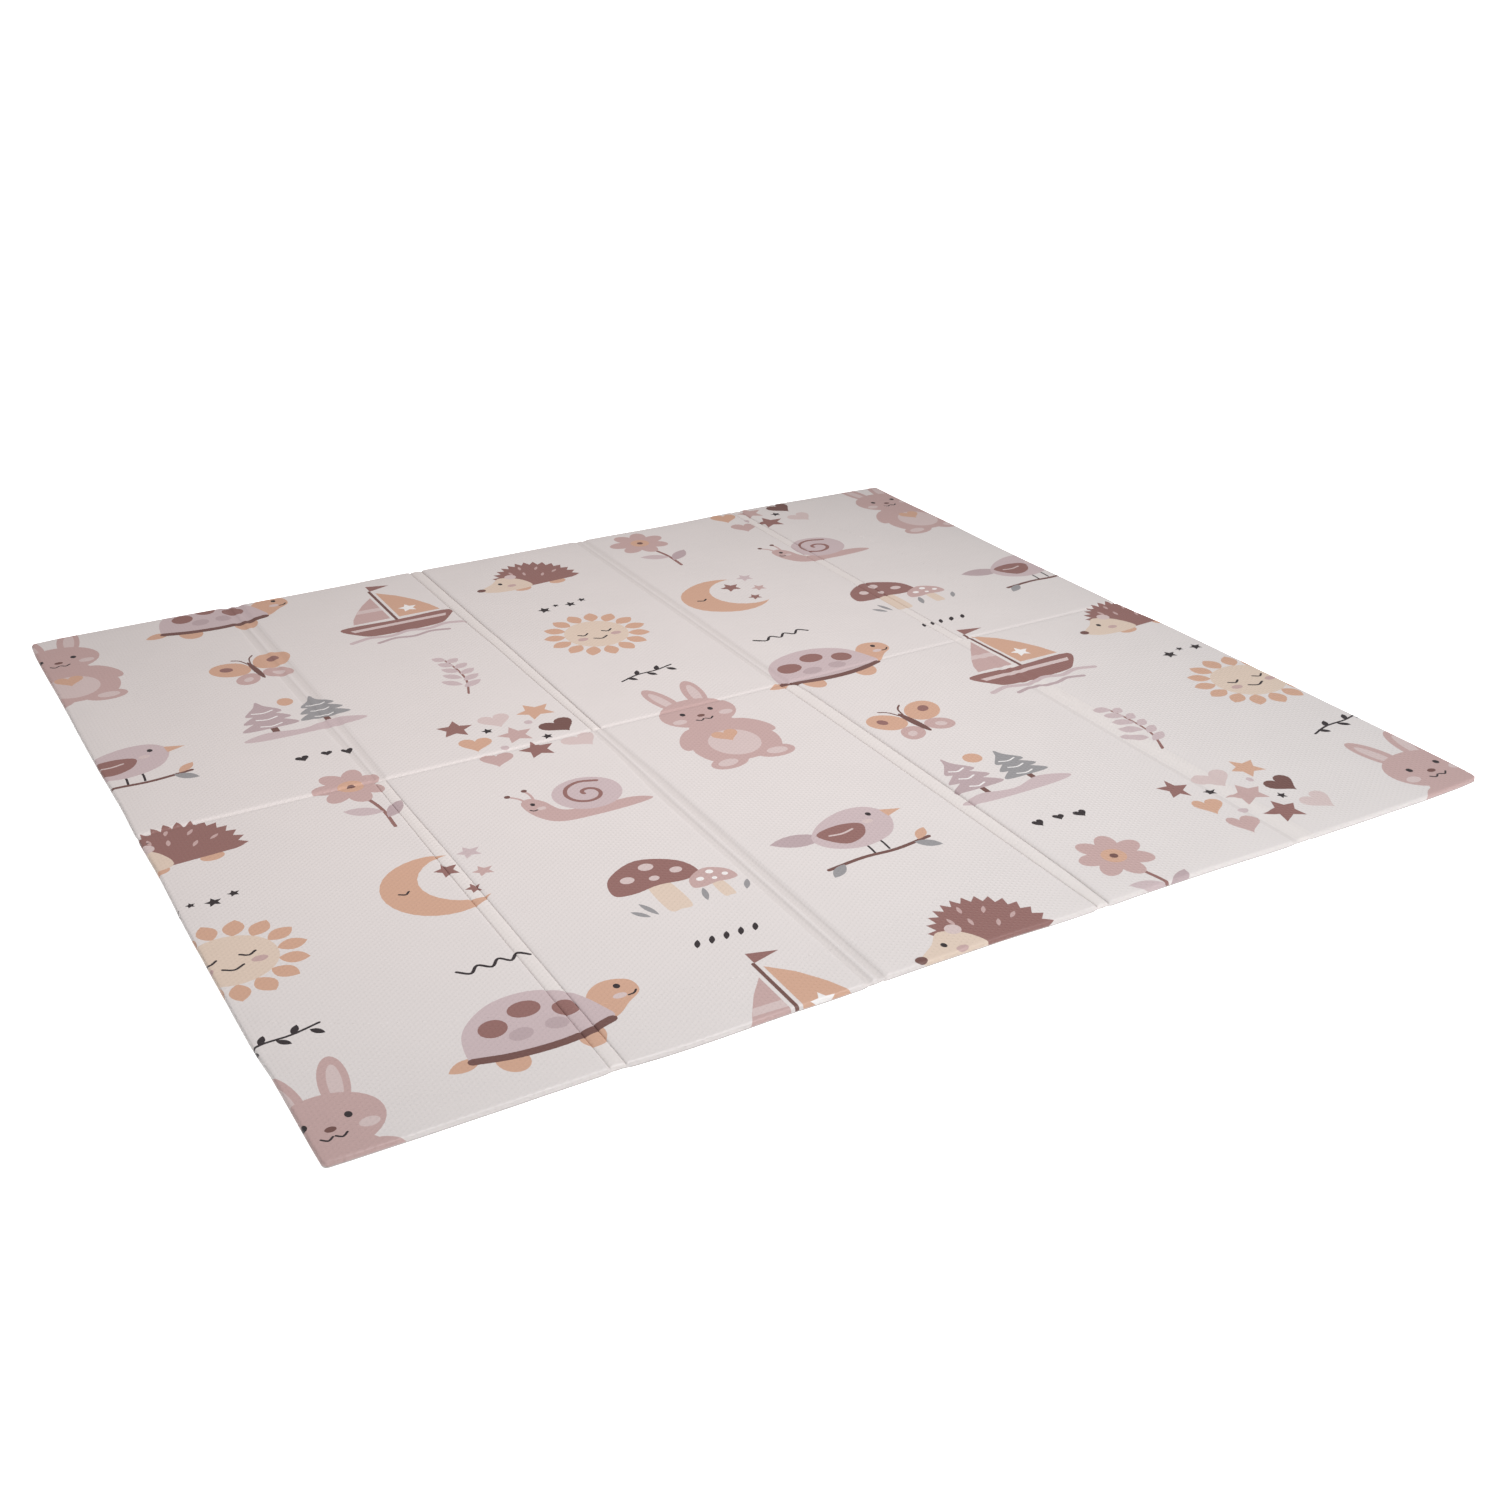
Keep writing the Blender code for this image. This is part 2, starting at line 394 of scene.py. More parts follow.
def turtle():
    return [
        ("sand", leaf(-11.5, -4.6, 6.0, 3.0, 192)),
        ("sand", oval(-7.4, -7.4, 5.2, 6.4, 14)),
        ("sand", oval(6.4, -7.4, 5.2, 6.4, -14)),
        ("sand", smooth([(8, -5), (10, 2), (13.5, 5), (17.6, 3.6), (18, 0), (15, -2.4),
                         (12, -5)])),
        ("mauve", smooth([(-13.4, -4), (-11.6, 3), (-5.6, 8), (1.6, 8.6), (8.2, 5.2),
                          (11.4, -1.4), (11, -5.4), (0, -7), (-12, -6)])),
        ("brown", oval(-7.0, 1.6, 5.0, 4.6, 30)),
        ("brown", oval(-0.6, 4.2, 5.6, 4.4)),
        ("brown", oval(5.8, 1.4, 4.8, 4.4, -30)),
        ("plum", oval(-3.6, -1.8, 4.2, 3.2, 10)),
        ("plum", oval(2.6, -1.8, 4.2, 3.2, -10)),
        ("cocoa", line([(-13, -4.9), (-7, -6.4), (0, -7), (6, -6.5), (11.2, -5.1)], 1.7)),
        ("blush", oval(14.6, 0.0, 2.2, 1.5)),
        ("black", oval(15.2, 2.7, 1.1, 1.4)),
        ("black", line([(15.8, -0.5), (16.8, -0.4), (17.5, 0.3)], 0.38)),
    ]


def sailboat():
    crests = [(-15 + 5 * step, -13.6 + 1.2 * (step % 2)) for step in range(7)]
    troughs = [(-9 + 4.6 * step, -16.4 + 1.0 * (step % 2)) for step in range(5)]
    return [
        ("cocoa", line([(0, -4), (0, 6), (0, 17)], 0.8)),
        ("sand", polygon([(1.2, -2.6), (12.6, -2.6), (11.3, 1.6), (8.8, 6.6), (5.4, 11.5),
                          (1.2, 15.6)])),
        ("white", star(5.2, 2.0, 2.6)),
        ("rose", polygon([(-1.2, 13.0), (-4.7, 9.0), (-7.7, 4.6), (-9.9, 0.6), (-10.9, -2.6),
                          (-1.2, -2.6)])),
        ("blush", polygon([(-1.2, 5.6), (-6.9, 5.8), (-8.1, 3.8), (-1.2, 3.4)])),
        ("brown", smooth([(-14.6, -4), (0, -4.2), (14.6, -4), (11.6, -9.8), (7, -12),
                          (-7, -12), (-11.6, -9.8)])),
        ("blush", polygon([(-12.9, -6.0), (12.9, -6.0), (12.2, -7.5), (-12.2, -7.5)])),
        ("brown", polygon([(0.3, 17.2), (0.3, 20.6), (6.2, 18.8)])),
        ("mauve", line(crests, 1.4)),
        ("plum", line(troughs, 1.1)),
    ]


def sun():
    shapes = []
    for step in range(15):
        root = 8.0 * turned(24 * step)
        shapes.append(("sand", leaf(root.real, root.imag, 5.6, 3.7, 24 * step)))
    shapes.append(("cream", oval(0, 0, 16.4, 16.4)))
    shapes.append(("black", line([(-1.8, -2.3), (0, -3.3), (1.8, -2.3)], 0.5)))
    return shapes + mirrored([
        ("black", line([(-4.6, 1.1), (-3.3, 0.2), (-2.0, 1.1)], 0.5)),
        ("rose", oval(-4.6, -1.8, 2.8, 1.9)),
    ])


def moon():
    opening, bite = 52.0, 4.8
    tip = 10.0 * turned(opening)
    inner = abs(tip - bite)
    inner_angle = math.degrees(cmath.phase(tip - bite))
    hollow = arc(bite, 0, inner, inner_angle, 360 - inner_angle)
    crescent = arc(0, 0, 10.0, opening, 360 - opening, 22) + hollow[::-1][1:-1]
    return [
        ("sand", crescent),
        ("black", line([(-7.0, 1.2), (-6.1, 0.5), (-5.2, 1.1)], 0.42)),
        ("brown", star(3.6, 3.4, 2.6)),
        ("rose", star(8.8, -0.6, 1.9)),
        ("brown", star(4.6, -4.6, 1.7)),
        ("mauve", star(10.0, 6.4, 2.2)),
    ]


def toadstools():
    def one(x, y, size, cap, spots):
        marks = ((-4.2, 3.4, 2.7), (0.8, 6.0, 2.9), (5.2, 2.6, 2.4), (0.4, 1.8, 2.0))
        shapes = [
            ("cream", smooth([(-2.3, -9), (-1.8, 1), (1.8, 1), (2.4, -9), (0, -9.8)])),
            (cap, smooth([(-8.6, -0.2), (-7, 5.4), (0, 9), (7, 5.4), (8.6, -0.2), (5, -1.4),
                          (0, -0.7), (-5, -1.4)])),
        ] + [(spots, oval(mx, my, width, 0.85 * width)) for mx, my, width in marks]
        return moved(shapes, complex(x, y), size)

    blades = ((-6.4, 5.2, 108), (-8.0, 4.0, 128), (3.2, 4.4, 74), (11.6, 3.6, 58))
    grass = [("grey", leaf(x, -9.6, length, 1.2, turn)) for x, length, turn in blades]
    return grass + one(-2, 0, 1.0, "brown", "blush") + one(7.8, -4.4, 0.56, "rose", "white")


def pines():
    def one(x, y, size, ink, light):
        tiers = ((-7.6, -5.0, 6.2, 3.4), (-6.2, -0.8, 5.2, 7.0), (-4.6, 3.4, 3.8, 11.0))
        shapes = [("cocoa", polygon([(-0.9, -9), (0.9, -9), (0.9, -4), (-0.9, -4)]))]
        for left, low, right, peak in tiers:
            shapes.append((ink, smooth([(left, low), (0, low - 0.8), (right + 1.2, low),
                                        (1.4, peak - 3.0), (0, peak), (-1.4, peak - 3.0)])))
        shapes += [(light, line([(-2.6, low + 1.2), (0, low + 0.4), (2.6, low + 1.2)], 0.5))
                   for left, low, right, peak in tiers]
        return moved(shapes, complex(x, y), size)

    hill = smooth([(-15, -9), (-9, -6.6), (0, -8.2), (8, -6), (15, -9), (9, -10.6),
                   (-9, -10.6)])
    return one(-6.6, 1.0, 0.95, "plum", "white") + one(6.8, 0.2, 0.8, "grey", "white") + [
        ("mauve", hill), ("sand", oval(0.6, 8.4, 4.6, 4.6))]


def flower():
    petals = []
    for step in range(7):
        middle = 4.4 * turned(step * 360 / 7 + 12)
        petals.append(("rose", oval(middle.real, 6 + middle.imag, 6.0, 4.2,
                                    step * 360 / 7 + 12)))
    return [
        ("brown", line([(0, -13.5), (0.8, -6), (0, 2)], 0.8)),
        ("plum", leaf(0.4, -9.5, 8.0, 3.4, 38)),
        ("mauve", leaf(0.7, -7.0, 7.4, 3.2, 146)),
    ] + petals + [("sand", oval(0, 6, 4.8, 4.8)), ("cocoa", oval(0, 6, 1.6, 1.6))]


def snail():
    turns = [(-1.4 + (0.7 + 0.42 * k) * math.cos(0.72 * k), 2.2 + (0.7 + 0.42 * k)
              * math.sin(0.72 * k)) for k in range(13)]
    return [
        ("rose", smooth([(-13, -6.2), (-9, -4), (0, -3.4), (6, -2), (8, 3), (10.4, 5.6),
                         (12.8, 3.8), (12, -2), (8.4, -6.4), (0, -7.4), (-9, -7.2)])),
        ("rose", line([(9.6, 4.6), (9.4, 7), (9.8, 9)], 0.6)),
        ("rose", line([(11.4, 4.6), (12.2, 6.6), (13.6, 8.2)], 0.6)),
        ("cocoa", oval(9.8, 9.3, 1.3, 1.3)),
        ("cocoa", oval(13.9, 8.5, 1.3, 1.3)),
        ("mauve", oval(-1.4, 2.2, 15.0, 14.0)),
        ("brown", line(turns, 0.9, 3)),
        ("black", oval(10.6, 2.9, 1.0, 1.3)),
        ("blush", oval(9.6, 0.6, 2.0, 1.4)),
        ("black", line([(10.6, 0.4), (11.4, 0.3), (12.0, 0.9)], 0.36)),
    ]


def bird():
    return [
        ("black", line([(0, -5), (0, -7), (-0.2, -9)], 0.45)),
        ("black", line([(3.2, -5), (3.2, -7), (3.0, -9)], 0.45)),
        ("plum", leaf(-5, 0.6, 11.0, 4.6, 168)),
        ("mauve", smooth([(-8, 0.4), (-4, 5), (2.6, 7.6), (8, 6.6), (10.2, 2), (7, -4),
                          (0, -6.2), (-6, -4)])),
        ("sand", polygon([(9.6, 4.4), (13.6, 2.9), (9.8, 1.5)])),
        ("brown", smooth([(-6.4, 1.6), (-1, 3.2), (3.6, 1.6), (1.8, -2.4), (-3, -3.6)])),
        ("blush", line([(-4.2, 0.4), (-1.6, 0.0), (1.0, 0.6)], 0.5)),
        ("black", oval(6.8, 4.0, 1.1, 1.4)),
        ("blush", oval(5.2, 1.7, 2.2, 1.5)),
        ("cocoa", line([(-11, -10.2), (-3, -9.4), (4, -9.8), (12, -8.8)], 0.9)),
        ("grey", leaf(8.4, -9.2, 5.4, 2.4, -38)),
        ("grey", leaf(-7.4, -9.8, 5.2, 2.3, 218)),
        ("sand", leaf(9.6, -8.8, 4.8, 2.2, 44)),
    ]


def butterfly():
    wings = mirrored([
        ("sand", oval(-5.2, 3.4, 9.6, 7.6, -38)),
        ("rose", oval(-3.8, -3.6, 6.6, 5.4, 34)),
        ("brown", oval(-6.0, 4.0, 3.0, 2.4, -38)),
        ("blush", oval(-4.0, -3.8, 2.6, 2.0, 34)),
        ("cocoa", line([(-0.4, 4), (-1.4, 6.8), (-3.0, 8.2)], 0.42)),
    ])
    return wings + [("cocoa", oval(0, 0, 1.8, 10.4))]


def hedgehog():
    spikes = []
    for step in range(31):
        reach = 1.0 if step % 2 else 0.86
        angle = math.radians(12 + 180 * step / 30)
        spikes.append((-1.5 + 11.4 * reach * math.cos(angle), -5 + 13.0 * reach * math.sin(angle)))
    coat = polygon(spikes + [(-10, -7.6), (6, -7.6)])
    quills = [("rose", leaf(x, y, 2.4, 0.8, 104 - 6 * x))
              for x, y in ((-7, -2), (-4, 1.6), (-0.6, 3.4), (2.6, 1.2), (-3.6, -3), (0, -0.6))]
    return [
        ("sand", oval(-5.4, -8.2, 4.4, 3.0)),
        ("sand", oval(4.4, -8.2, 4.4, 3.0)),
        ("brown", coat),
    ] + quills + [
        ("cream", smooth([(1.6, -7.8), (2.4, -2), (6.6, 1), (10, -1.6), (14.4, -4.6),
                          (10.6, -7.6)])),
        ("cocoa", oval(14.2, -4.3, 2.2, 2.0)),
        ("black", oval(8.2, -2.7, 1.1, 1.4)),
        ("rose", oval(6.0, -5.0, 2.4, 1.6)),
        ("blush", oval(3.8, 0.4, 3.0, 3.0)),
    ]


def sprig(stem, leaves):
    shapes = [(stem, line([(0, -12), (1.4, -4), (0.6, 4), (-1.2, 11)], 0.6))]
    for step in range(5):
        height = -8.0 + 4.0 * step
        middle = 0.9 - 0.02 * (height + 1) ** 2
        shapes.append((leaves, leaf(middle, height, 6.0 - 0.5 * step, 2.7, 34)))
        shapes.append((leaves, leaf(middle, height + 1.6, 6.0 - 0.5 * step, 2.7, 142)))
    return shapes


def keepsakes():
    """Small stars, hearts and leaves in three rows."""
    kinds = (
        ("brown", star), ("blush", heart), ("sand", star),
        ("sand", heart), ("rose", star), ("cocoa", heart),
        ("rose", heart), ("brown", star), ("blush", heart),
    )
    shapes = []
    for index, (ink, kind) in enumerate(kinds):
        x = 9.0 * (index % 3 - 1) + 1.2 * (index // 3 - 1)
        y = 8.4 * (1 - index // 3)
        turn = {star: 90, heart: 0}[kind] + 14 * (index % 3 - 1)
        size = 4.0 if kind is star else 7.0
        shapes.append((ink, kind(x, y, size, turn=turn)))
    return shapes + [
        ("black", star(-4.6, 4.4, 1.3)),
        ("black", star(5.4, -3.8, 1.3)),
        ("mauve", oval(4.6, 4.2, 1.8, 1.8)),
        ("mauve", oval(-4.4, -4.4, 1.8, 1.8)),
    ]


# Small dark drawings that stand beside the motifs


def twig():
    shapes = [("black", line([(-6, -0.8), (-2, 0.3), (2, 0.2), (6, 0.9)], 0.42))]
    for step in range(5):
        x = -4.4 + 2.2 * step
        shapes.append(("black", leaf(x, 0.1, 2.3, 1.05, 58 if step % 2 else -52)))
    return shapes


def small_stars():
    return [("black", star(x, y, radius)) for x, y, radius in
            ((-4.6, -0.2, 1.5), (-1.4, 0.7, 0.8), (1.6, -0.3, 1.3), (4.8, 0.5, 1.0))]


def ripple():
    places = [(-5.6 + 1.6 * step, 0.7 * (-1) ** step) for step in range(8)]
    return [("black", line(places, 0.5))]


def seeds():
    return [("black", leaf(-5.4 + 2.4 * step, -0.9, 2.2, 0.9, 62)) for step in range(5)]


def small_hearts():
    return [("black", heart(x, y, size, turn=turn)) for x, y, size, turn in
            ((-4.2, 0, 2.4, 10), (0, 0.3, 2.0, -6), (3.8, -0.2, 2.4, 8))]


def moved(shapes, place, size=1.0, turn=0.0, flip=False):
    """Shapes turned, scaled and set down at a place."""
    spun = size * turned(turn)
    laid = []
    for ink, outline in shapes:
        points = [-point.conjugate() for point in outline] if flip else outline
        laid.append((ink, [place + spun * point for point in points]))
    return laid


# One repeat of the print: where each drawing stands, in metres, how it is turned in
# degrees, its scale, and whether it looks to the left
REPEAT_LENGTH = 0.960
REPEAT_WIDTH = 1.620
HALF_DROP = REPEAT_WIDTH / 2
PRINT_START = (-1.130, -1.120)
REPEATS_ALONG = 3
REPEATS_ACROSS = 3

PLACES = (
    (rabbit(), 0.160, 0.240, 0, 0.85, False),
    (twig(), 0.160, 0.490, 4, 1.00, False),
    (sun(), 0.160, 0.710, 0, 0.80, False),
    (small_stars(), 0.165, 0.880, 5, 1.00, False),
    (hedgehog(), 0.165, 1.080, 3, 0.85, True),
    (bird(), 0.160, 1.400, 0, 0.85, False),
    (butterfly(), 0.480, 0.060, 8, 0.85, False),
    (turtle(), 0.475, 0.360, 0, 0.85, False),
    (ripple(), 0.480, 0.520, 3, 1.00, False),
    (moon(), 0.490, 0.760, 8, 0.90, False),
    (flower(), 0.480, 1.080, 6, 0.85, False),
    (small_hearts(), 0.480, 1.270, -4, 1.00, False),
    (pines(), 0.480, 1.450, 0, 0.75, False),
    (sailboat(), 0.795, 0.200, 0, 0.80, False),
    (seeds(), 0.800, 0.420, 0, 1.00, False),
    (toadstools(), 0.795, 0.600, 0, 0.85, False),
    (snail(), 0.800, 0.900, 0, 0.80, True),
    (keepsakes(), 0.795, 1.180, 0, 0.85, False),
    (sprig("brown", "mauve"), 0.800, 1.470, -8, 0.75, False),
)


class Graph:
    """Adds nodes to a tree and links them."""

    def __init__(self, tree):
        self.tree = tree

    def add(self, kind, feeds=None, **settings):
        node = self.tree.nodes.new(kind)
        for name, value in settings.items():
            setattr(node, name, value)
        for socket, value in (feeds or {}).items():
            if isinstance(value, bpy.types.NodeSocket):
                self.tree.links.new(value, node.inputs[socket])
            else:
                node.inputs[socket].default_value = value
        return node

    def math(self, operation, first, second=0.0, clamp=False):
        feeds = {0: first, 1: second}
        return self.add("ShaderNodeMath", feeds, operation=operation, use_clamp=clamp).outputs[0]

    def plus(self, first, second):
        return self.math("ADD", first, second)

    def minus(self, first, second, clamp=False):
        return self.math("SUBTRACT", first, second, clamp)

    def times(self, first, *others):
        for other in others:
            first = self.math("MULTIPLY", first, other)
        return first

    def mix(self, share, first, second):
        node = self.add("ShaderNodeMix", {"Factor": share, "A": first, "B": second})
        return node.outputs["Result"]

    def ease(self, value, low, high):
        """0 below low, 1 above high, and a soft step between."""
        feeds = {"Value": value, "From Min": low, "From Max": high}
        node = self.add("ShaderNodeMapRange", feeds, interpolation_type="SMOOTHSTEP")
        return node.outputs["Result"]

    def fade(self, value, low, high):
        """1 below low, 0 above high, and a soft step between."""
        return self.minus(1.0, self.ease(value, low, high))

    def profile(self, place, rows, handle="AUTO_CLAMPED"):
        """Value read from (place, value) rows, along a curve."""
        low = min(value for row, value in rows)
        spread = max(value for row, value in rows) - low or 1.0
        start = rows[0][0]
        reach = rows[-1][0] - start
        part = self.math("DIVIDE", self.minus(place, start), reach, clamp=True)
        curve = self.add("ShaderNodeFloatCurve", {"Value": part})
        points = curve.mapping.curves[0].points
        while len(points) < len(rows):
            points.new(0.5, 0.5)
        for point, (row, value) in zip(points, rows):
            point.location = ((row - start) / reach, (value - low) / spread)
            point.handle_type = handle
        curve.mapping.update()
        return self.plus(self.times(curve.outputs[0], spread), low)


def node_group(name, inputs):
    """Geometry tree with a mesh in and out, and named inputs with their values."""
    tree = bpy.data.node_groups.new(name, "GeometryNodeTree")
    faces = tree.interface
    faces.new_socket("Geometry", in_out="INPUT", socket_type="NodeSocketGeometry")
    faces.new_socket("Geometry", in_out="OUTPUT", socket_type="NodeSocketGeometry")
    for label, value in inputs.items():
        kind = "NodeSocketInt" if isinstance(value, int) else "NodeSocketFloat"
        socket = faces.new_socket(label, in_out="INPUT", socket_type=kind)
        socket.default_value = value
    graph = Graph(tree)
    return graph, graph.add("NodeGroupInput").outputs, graph.add("NodeGroupOutput").inputs


def run_tree(mesh, name, graph, inputs):
    """Plain mesh that a geometry tree makes from another."""
    holder = bpy.data.objects.new(name, mesh)
    bpy.context.scene.collection.objects.link(holder)
    modifier = holder.modifiers.new(name, "NODES")
    modifier.node_group = graph.tree
    for item in graph.tree.interface.items_tree:
        if item.in_out == "INPUT" and item.name in inputs:
            modifier[item.identifier] = inputs[item.name]
    bpy.context.view_layer.update()
    made = holder.evaluated_get(bpy.context.evaluated_depsgraph_get())
    result = bpy.data.meshes.new_from_object(made)
    bpy.data.objects.remove(holder)
    return result


def signed_area(outline):
    pairs = zip(outline, outline[1:] + outline[:1])
    return sum((start.conjugate() * end).imag for start, end in pairs) / 2


def repeat_mesh():
    """One repeat of the print: a face for each outline, which carries its ink."""
    points, faces, inks = [], [], []
    for shapes, x, y, turn, size, flip in PLACES:
        for ink, outline in moved(shapes, complex(x, y), CENTIMETRE * size, turn, flip):
            if signed_area(outline) < 0:
                outline = outline[::-1]
            faces.append(range(len(points), len(points) + len(outline)))
            points += [(point.real, point.imag, 0.0) for point in outline]
            inks.append(INK_NAMES.index(ink))
    mesh = bpy.data.meshes.new("print_repeat")
    mesh.from_pydata(points, [], faces)
    mesh.attributes.new("ink", "INT", "FACE").data.foreach_set("value", inks)
    return mesh


PRINT_INPUTS = {
    "Repeat Length": REPEAT_LENGTH,
    "Repeat Width": REPEAT_WIDTH,
    "Half Drop": HALF_DROP,
    "Along": REPEATS_ALONG,
    "Across": REPEATS_ACROSS,
}


def print_tree():
    """Tree that sets the repeat down over the mat, every other column half a repeat lower."""
    graph, given, result = node_group("lay_print", PRINT_INPUTS)
    span_x = graph.times(given["Repeat Length"], graph.minus(given["Along"], 1.0))
    span_y = graph.times(given["Repeat Width"], graph.minus(given["Across"], 1.0))
    lattice = graph.add("GeometryNodeMeshGrid", {
        "Size X": span_x, "Size Y": span_y,
        "Vertices X": given["Along"], "Vertices Y": given["Across"]})
    column = graph.math("FLOOR", graph.math(
        "DIVIDE", graph.add("GeometryNodeInputIndex").outputs[0], given["Across"]))
    drop = graph.times(graph.math("MODULO", column, 2.0), given["Half Drop"])
    corner_x = graph.plus(graph.times(span_x, 0.5), PRINT_START[0])
    corner_y = graph.plus(graph.times(span_y, 0.5), PRINT_START[1])
    shift = graph.add("ShaderNodeCombineXYZ", {
        "X": corner_x, "Y": graph.minus(corner_y, drop)})
    places = graph.add("GeometryNodeSetPosition", {
        "Geometry": lattice.outputs["Mesh"], "Offset": shift.outputs[0]})
    copies = graph.add("GeometryNodeInstanceOnPoints", {
        "Points": places.outputs[0], "Instance": given["Geometry"]})
    laid = graph.add("GeometryNodeRealizeInstances", {"Geometry": copies.outputs[0]})
    graph.tree.links.new(laid.outputs[0], result["Geometry"])
    return graph


def print_outlines():
    """Ink and outline of every drawing that lies on the mat, the lowest first."""
    mesh = run_tree(repeat_mesh(), "lay_print", print_tree(), PRINT_INPUTS)
    inks = [0] * len(mesh.polygons)
    mesh.attributes["ink"].data.foreach_get("value", inks)
    shapes = []
    for face, ink in zip(mesh.polygons, inks):
        outline = [complex(*mesh.vertices[index].co[:2]) for index in face.vertices]
        nearest_x = min(abs(point.real) for point in outline)
        nearest_y = min(abs(point.imag) for point in outline)
        if nearest_x < HALF_LENGTH + RIM_EXTRA and nearest_y < HALF_WIDTH + RIM_EXTRA:
            shapes.append((ink, outline))
    return shapes


def film_lines(half, folds, profile):
    """Places of the lines that cut the flat film where its relief bends."""
    edge = half + RIM_EXTRA
    rim = [edge - row[FILM] for row in RIM]
    places = {round(side * place, 5) for place in rim for side in (-1, 1)}
    for fold in folds:
        offsets = [row[FILM] for row in profile] + [profile[-1][FILM] + FOLD_MARGIN]
        places |= {round(fold + side * offset, 5) for offset in offsets for side in (-1, 1)}
    stops = sorted(places)
    for low, high in zip(stops, stops[1:]):
        parts = round((high - low) / PANEL_GRID)
        places |= {round(low + (high - low) * k / parts, 5) for k in range(1, parts)}
    return sorted(places)


def cut_film(columns, rows, outlines, border=()):
    """Points and triangles of the flat film, cut along lines and outlines.

    Each triangle comes with the number of the topmost outline that it lies in, or -1.
    """
    places, edges, faces = list(border), [], []

    def chain(points):
        start = len(places)
        places.extend(points)
        return list(range(start, len(places)))

    for x in columns:
        edges.append(chain([complex(x, rows[0]), complex(x, rows[-1])]))
    for y in rows:
        edges.append(chain([complex(columns[0], y), complex(columns[-1], y)]))
    for outline in outlines:
        faces.append(chain(outline))
    flat = [Vector((place.real, place.imag)) for place in places]
    cut = delaunay_2d_cdt(flat, edges, faces, 0, CUT_TOLERANCE, True)
    points, numbers, triangles, owners = [], {}, [], []
    for triangle, sources in zip(cut[2], cut[5]):
        middle = sum((cut[0][index] for index in triangle), Vector((0.0, 0.0))) / 3
        if abs(middle.x) > columns[-1] or abs(middle.y) > rows[-1]:
            continue
        for index in triangle:
            if index not in numbers:
                x, y = cut[0][index]
                numbers[index] = len(points)
                points.append(complex(snapped(x, columns[-1]), snapped(y, rows[-1])))
        triangles.append([numbers[index] for index in triangle])
        owners.append(max(sources, default=-1))
    return points, triangles, owners


def bare_film(corners):
    """Tone of a triangle of the top film that carries no ink: the ground, with painted shade and a
    painted highlight in the bands along the fold strips.
    """
    middle = sum(corners) / 3
    fold = min(max(round((middle.real + HALF_LENGTH) / PANEL_LENGTH), 1), COLUMNS - 1)
    off_strip = middle.real + HALF_LENGTH - fold * PANEL_LENGTH
    for low, high, tone in BANDS.get((fold, middle.imag > GROOVE_Y), HIGHLIGHT_BAND):
        if low < off_strip < high:
            return tone
    return "ground"


def snapped(value, edge):
    """The value, or the edge itself where it is a hair away."""
    on_edge = abs(abs(value) - edge) < BORDER_TOLERANCE
    return math.copysign(edge, value) if on_edge else value


def flat_films():
    """Both films as they lie flat, the printed one at 1 m and the plain one at -1 m."""
    folds = [PANEL_LENGTH * index - HALF_LENGTH for index in range(1, COLUMNS)]
    columns = film_lines(HALF_LENGTH, folds, STRIP)
    rows = film_lines(HALF_WIDTH, [GROOVE_Y], GROOVE)
    shapes = print_outlines()
    points, triangles, owners = cut_film(columns, rows, [outline for ink, outline in shapes])
    inks = []
    for triangle, owner in zip(triangles, owners):
        if owner < 0:
            inks.append(INK_NAMES.index(bare_film([points[index] for index in triangle])))
        else:
            inks.append(shapes[owner][0])
    border = [point for point in points
              if abs(point.real) == columns[-1] or abs(point.imag) == rows[-1]]
    back_points, back_triangles, back_owners = cut_film(columns, rows, [], border)
    start = len(points)
    back_faces = [[start + index for index in reversed(triangle)] for triangle in back_triangles]
    mesh = bpy.data.meshes.new("flat_films")
    mesh.from_pydata(
        [(point.real, point.imag, 1.0) for point in points]
        + [(point.real, point.imag, -1.0) for point in back_points],
        [], triangles + back_faces)
    # the plain film is darker than the ground, as painted shade along the bottom of the rim
    mesh.attributes.new("ink", "INT", "FACE").data.foreach_set(
        "value", inks + [INK_NAMES.index("underside")] * len(back_owners))
    return mesh


PRESS_INPUTS = {
    "Thickness": THICKNESS,
    "Seal Height": SEAL_HEIGHT,
    "Underside Depth": UNDERSIDE_DEPTH,
    "Corner Radius": CORNER_RADIUS,
    "Fold Draw": FOLD_DRAW,
    "Fold Draw Reach": FOLD_DRAW_REACH,
    "Rim Ripple": RIM_RIPPLE,
    "Panel Wave": PANEL_WAVE,
    "Weld Distance": WELD_DISTANCE,
}


def table_column(rows, index, less=None):
    """Rows of a table as (film, value), the value less another column's if it is given."""
    return [(row[FILM], row[index] - (0.0 if less is None else row[less])) for row in rows]


def noise_about_zero(graph, s, t, scale, detail):
    place = graph.add("ShaderNodeCombineXYZ", {"X": s, "Y": t}).outputs[0]
    feeds = {"Vector": place, "Scale": scale, "Detail": detail}
    return graph.minus(graph.add("ShaderNodeTexNoise", feeds).outputs[0], 0.5)


def from_edge(graph, value, half, radius):
    """How a place lies to the nearest of two opposite edges.

    Distance from the sealed edge along the film, how much of it the curve of the rim takes
    up, distance in plan, and share of the corner's radius that is left to the edge.
    """
    film = graph.minus(half + RIM_EXTRA, graph.math("ABSOLUTE", value))
    drawn = graph.plus(graph.profile(film, table_column(RIM, INSET, FILM)), RIM_EXTRA)
    inset = graph.plus(graph.minus(film, RIM_EXTRA), drawn)
    part = graph.minus(1.0, graph.math("DIVIDE", inset, radius), clamp=True)
    return film, drawn, inset, part


def corner_shift(graph, part, other, radius):
    """How far a corner draws a point in, so that square corners become round."""
    squeeze = graph.math("SQRT", graph.minus(1.0, graph.times(0.5, graph.times(other, other))))
    return graph.times(part, graph.minus(1.0, squeeze), radius)


